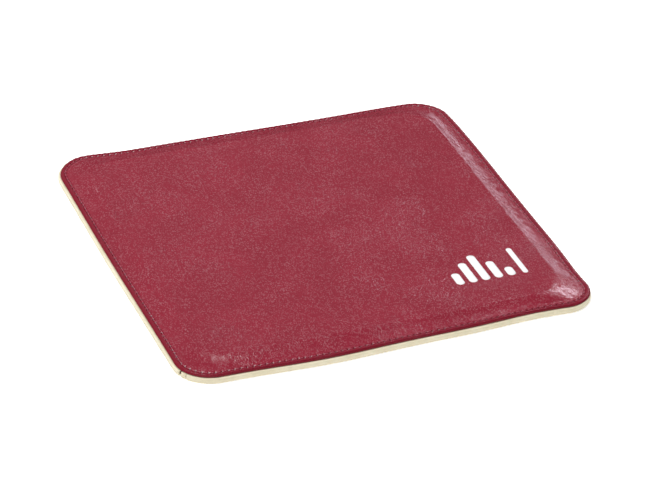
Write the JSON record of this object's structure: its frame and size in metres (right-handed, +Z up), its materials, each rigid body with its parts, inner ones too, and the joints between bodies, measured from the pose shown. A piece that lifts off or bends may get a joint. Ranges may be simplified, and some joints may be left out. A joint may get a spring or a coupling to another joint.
{
  "type": "cushioned seat pad",
  "caption": "Thin square cushioned seat pad for a box drum: artificial leather cover over foam, sewn round its border to a non-slip cloth base.",
  "frame": {"origin": "centre of the flat underside, on the surface that the pad lies on", "axes": "+Z up out of the padded face, +Y along the depth (the slightly longer side), +X along the width; the printed mark is near the +X, -Y corner"},
  "size_m": [0.3026, 0.3066, 0.0088],
  "materials": {
    "base_cloth": "matte",
    "foam": "matte",
    "cover_leather": "satin",
    "red_thread": "satin",
    "cream_thread": "satin",
    "white_print": "satin"
  },
  "bodies": {
    "root": {"base_sheet": "base_cloth", "foam_core": "foam", "cover_panel": "cover_leather", "needle_thread": "red_thread", "bobbin_thread": "cream_thread", "printed_emblem": "white_print"}
  },
  "joints": []
}
